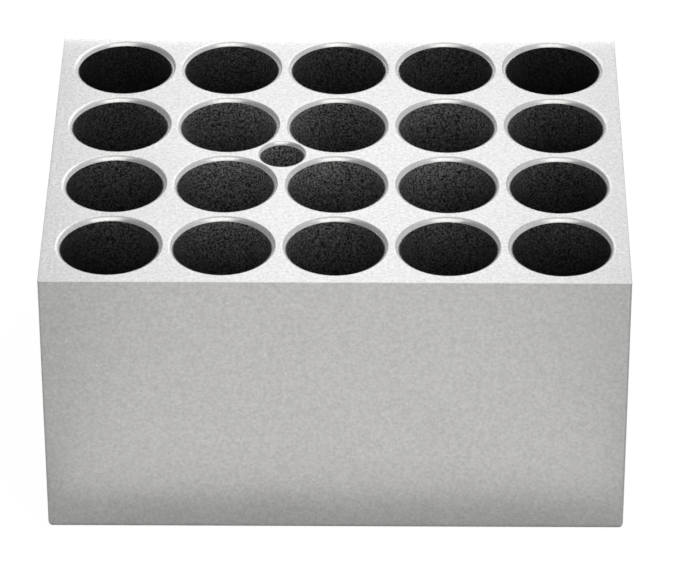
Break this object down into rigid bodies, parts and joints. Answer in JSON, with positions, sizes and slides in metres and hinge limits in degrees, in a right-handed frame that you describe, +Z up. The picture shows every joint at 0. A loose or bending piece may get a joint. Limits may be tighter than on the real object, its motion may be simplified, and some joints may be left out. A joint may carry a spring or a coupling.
{
  "type": "dry block heater block",
  "caption": "Rectangular aluminium heating block with a grid of deep round vial wells in its top and one small thermometer well between them.",
  "frame": {"origin": "centre of the flat underside", "axes": "+X along the longer side, +Y towards the back, +Z up out of the wells"},
  "size_m": [0.0952, 0.0762, 0.0494],
  "materials": {
    "block": "satin milled aluminium, dull dark bores"
  },
  "bodies": {
    "root": {"heating_block": "block"}
  },
  "joints": []
}
